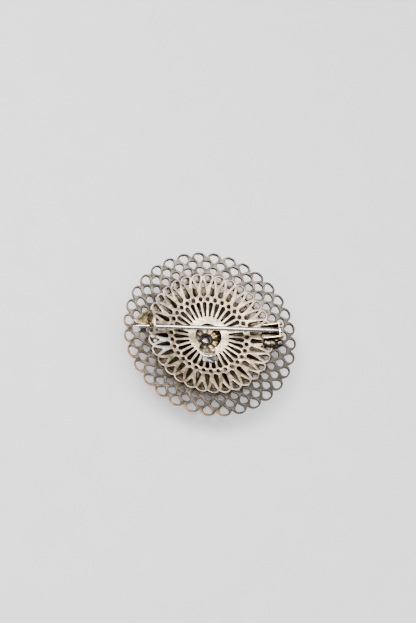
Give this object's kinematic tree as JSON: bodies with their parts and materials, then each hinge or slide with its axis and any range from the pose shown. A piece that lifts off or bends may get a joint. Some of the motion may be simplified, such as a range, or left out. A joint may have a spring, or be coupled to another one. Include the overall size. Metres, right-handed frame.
{
  "type": "filigree brooch",
  "caption": "Round openwork brooch with a stone front, a hinged pin on its back and an open catch hook.",
  "frame": {"origin": "middle of the brooch, on the plane of the stone's table that it rests on face down", "axes": "+Z out of the brooch's back, +X along the closed pin from its point to its hinge, +Y towards the foot of the catch"},
  "size_m": [0.0458, 0.0458, 0.0122],
  "materials": {
    "aged_brass": "tarnished, worn bright on the edges",
    "silvered_brass": "pale silvered, satin, slightly warm",
    "gilt_brass": "gilded, half bright",
    "dark_metal": "dark tarnish, glossy",
    "bright_silver": "bright, worn",
    "solder": "dull grey, lumpy",
    "dark_solder": "dark, glossy and lumpy",
    "pin_steel": "drawn wire, bright",
    "clear_stone": "polished, faceted, foiled behind"
  },
  "bodies": {
    "brooch": {"outer_net": "aged_brass", "back_rosette": "silvered_brass", "joint_solder": "solder", "centre_cup": "gilt_brass", "centre_tube": "dark_metal", "centre_post": "bright_silver", "front_flower": "gilt_brass", "inner_flower": "gilt_brass", "claw_setting": "gilt_brass", "centre_stone": "clear_stone", "hole_lip": "bright_silver", "lip_solder": "solder", "hinge_fork": "silvered_brass", "hinge_solder": "dark_solder", "catch_plate": "gilt_brass", "catch_hook": "silvered_brass", "catch_solder": "bright_silver"},
    "rivet": {"hinge_rivet": "gilt_brass"},
    "pin": {"pin_stem": "pin_steel"}
  },
  "joints": [
    {"name": "pin_swing", "type": "hinge", "parent": "brooch", "child": "rivet", "pos_m": [0.0182, 0.0004, 0.0097], "axis": [0, 1, 0], "range_deg": [0, 110]},
    {"name": "pin_sway", "type": "hinge", "parent": "rivet", "child": "pin", "pos_m": [0.0182, 0.0004, 0.0097], "axis": [0, 0, 1], "range_deg": [-3, 5.5]}
  ]
}
